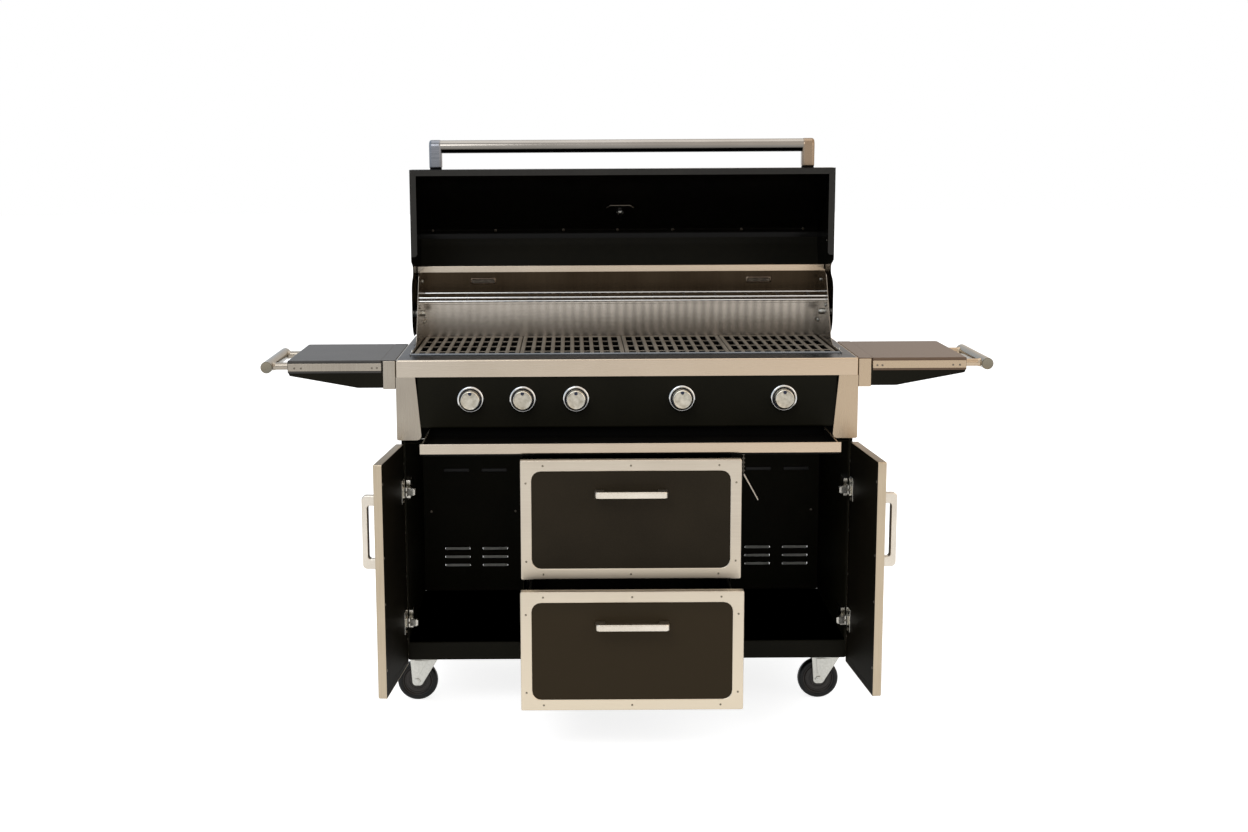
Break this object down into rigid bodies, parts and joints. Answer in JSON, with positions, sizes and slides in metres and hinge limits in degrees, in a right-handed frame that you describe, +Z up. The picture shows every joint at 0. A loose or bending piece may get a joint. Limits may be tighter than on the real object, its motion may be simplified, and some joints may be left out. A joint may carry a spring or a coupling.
{
  "type": "gas barbecue grill",
  "caption": "Gas barbecue grill on a cabinet cart with a roll-top hood, doors, pull-out drawers, grease tray, control knobs, side shelves with rail handles and swivel casters.",
  "frame": {"origin": "on the ground, under the middle of the bounding box of the grill with hood up, doors open and drawers pulled out", "axes": "+X to the cook's right, +Y away from the cook, +Z up"},
  "size_m": [1.744, 1.075, 1.3765],
  "materials": {
    "black_paint": "satin powder coat",
    "hood_enamel": "gloss porcelain enamel",
    "shelf_enamel": "satin powder coat",
    "stainless_sheet": "brushed",
    "stainless_handle": "polished",
    "burner_steel": "plain",
    "cast_iron": "matte",
    "chrome_plate": "polished",
    "knob_satin": "satin",
    "brass_fitting": "plain",
    "zinc_plate": "zinc plated",
    "wheel_plastic": "matte"
  },
  "bodies": {
    "cart": {"base_shelf": "black_paint", "cabinet_frame": "black_paint", "back_panel": "black_paint", "corner_posts": "stainless_sheet", "worktop": "stainless_sheet", "control_panel": "black_paint", "firebox_sides": "black_paint", "firebox_pan": "black_paint", "rear_wall": "black_paint", "rear_trims": "stainless_sheet", "burners": "burner_steel", "flame_tamers": "burner_steel", "cooking_grates": "cast_iron", "warming_rack": "chrome_plate", "gas_manifold": "brass_fitting", "knob_bezels": "chrome_plate", "side_shelves": "shelf_enamel", "shelf_trims": "stainless_sheet", "shelf_brackets": "black_paint", "shelf_handles": "stainless_handle", "slide_rails": "zinc_plate", "hinge_plates": "zinc_plate", "caster_plates": "zinc_plate", "match_holder": "chrome_plate", "pivot_bolts": "zinc_plate"},
    "hood": {"hood_shell": "hood_enamel", "hood_end_caps": "hood_enamel", "hood_handle": "stainless_handle", "thermometer": "chrome_plate"},
    "left_door": {"left_door_skin": "stainless_sheet", "left_door_liner": "black_paint", "left_door_hinges": "zinc_plate", "left_door_handle": "stainless_handle"},
    "right_door": {"right_door_skin": "stainless_sheet", "right_door_liner": "black_paint", "right_door_hinges": "zinc_plate", "right_door_handle": "stainless_handle"},
    "upper_drawer": {"upper_drawer_frame": "stainless_sheet", "upper_drawer_panel": "black_paint", "upper_drawer_box": "black_paint", "upper_drawer_handle": "stainless_handle"},
    "lower_drawer": {"lower_drawer_frame": "stainless_sheet", "lower_drawer_panel": "black_paint", "lower_drawer_box": "black_paint", "lower_drawer_handle": "stainless_handle"},
    "grease_tray": {"tray_front": "stainless_sheet", "tray_pan": "black_paint"},
    "knob_1": {"knob_1": "knob_satin"},
    "knob_2": {"knob_2": "knob_satin"},
    "knob_3": {"knob_3": "knob_satin"},
    "knob_4": {"knob_4": "knob_satin"},
    "knob_5": {"knob_5": "knob_satin"},
    "caster_fl": {"caster_fork_fl": "zinc_plate"},
    "wheel_fl": {"wheel_fl": "wheel_plastic"},
    "caster_fr": {"caster_fork_fr": "zinc_plate"},
    "wheel_fr": {"wheel_fr": "wheel_plastic"},
    "caster_rl": {"caster_fork_rl": "zinc_plate"},
    "wheel_rl": {"wheel_rl": "wheel_plastic"},
    "caster_rr": {"caster_fork_rr": "zinc_plate"},
    "wheel_rr": {"wheel_rr": "wheel_plastic"}
  },
  "joints": [
    {"name": "hood_hinge", "type": "hinge", "parent": "cart", "child": "hood", "pos_m": [0, 0.2895, 0.93], "axis": [1, 0, 0], "range_deg": [0, 90]},
    {"name": "left_door_hinge", "type": "hinge", "parent": "cart", "child": "left_door", "pos_m": [-0.535, -0.1305, 0.384], "axis": [0, 0, 1], "range_deg": [-6, 95]},
    {"name": "right_door_hinge", "type": "hinge", "parent": "cart", "child": "right_door", "pos_m": [0.535, -0.1305, 0.384], "axis": [0, 0, -1], "range_deg": [-6, 94]},
    {"name": "upper_drawer_slide", "type": "slide", "parent": "cart", "child": "upper_drawer", "axis": [0, 1, 0], "range_m": [-0.1, 0.265]},
    {"name": "lower_drawer_slide", "type": "slide", "parent": "cart", "child": "lower_drawer", "axis": [0, 1, 0], "range_m": [-0.03, 0.35]},
    {"name": "grease_tray_slide", "type": "slide", "parent": "cart", "child": "grease_tray", "axis": [0, 1, 0], "range_m": [-0.12, 0.23]},
    {"name": "knob_1_turn", "type": "hinge", "parent": "cart", "child": "knob_1", "pos_m": [-0.3729, -0.1505, 0.765], "axis": [0, -1, 0], "range_deg": [0, 210]},
    {"name": "knob_2_turn", "type": "hinge", "parent": "cart", "child": "knob_2", "pos_m": [-0.2486, -0.1505, 0.765], "axis": [0, -1, 0], "range_deg": [0, 210]},
    {"name": "knob_3_turn", "type": "hinge", "parent": "cart", "child": "knob_3", "pos_m": [-0.12166, -0.1505, 0.765], "axis": [0, -1, 0], "range_deg": [0, 210]},
    {"name": "knob_4_turn", "type": "hinge", "parent": "cart", "child": "knob_4", "pos_m": [0.13046, -0.1505, 0.765], "axis": [0, -1, 0], "range_deg": [0, 210]},
    {"name": "knob_5_turn", "type": "hinge", "parent": "cart", "child": "knob_5", "pos_m": [0.3729, -0.1505, 0.765], "axis": [0, -1, 0], "range_deg": [0, 210]},
    {"name": "caster_fl_swivel", "type": "hinge", "parent": "cart", "child": "caster_fl", "pos_m": [-0.498, -0.0625, 0.11], "axis": [0, 0, 1], "continuous": true},
    {"name": "wheel_fl_spin", "type": "hinge", "parent": "caster_fl", "child": "wheel_fl", "pos_m": [-0.519, -0.0625, 0.05], "axis": [0, 1, 0], "continuous": true},
    {"name": "caster_fr_swivel", "type": "hinge", "parent": "cart", "child": "caster_fr", "pos_m": [0.498, -0.0625, 0.11], "axis": [0, 0, 1], "continuous": true},
    {"name": "wheel_fr_spin", "type": "hinge", "parent": "caster_fr", "child": "wheel_fr", "pos_m": [0.477, -0.0625, 0.05], "axis": [0, 1, 0], "continuous": true},
    {"name": "caster_rl_swivel", "type": "hinge", "parent": "cart", "child": "caster_rl", "pos_m": [-0.498, 0.3155, 0.11], "axis": [0, 0, 1], "continuous": true},
    {"name": "wheel_rl_spin", "type": "hinge", "parent": "caster_rl", "child": "wheel_rl", "pos_m": [-0.519, 0.3155, 0.05], "axis": [0, 1, 0], "continuous": true},
    {"name": "caster_rr_swivel", "type": "hinge", "parent": "cart", "child": "caster_rr", "pos_m": [0.498, 0.3155, 0.11], "axis": [0, 0, 1], "continuous": true},
    {"name": "wheel_rr_spin", "type": "hinge", "parent": "caster_rr", "child": "wheel_rr", "pos_m": [0.477, 0.3155, 0.05], "axis": [0, 1, 0], "continuous": true}
  ]
}
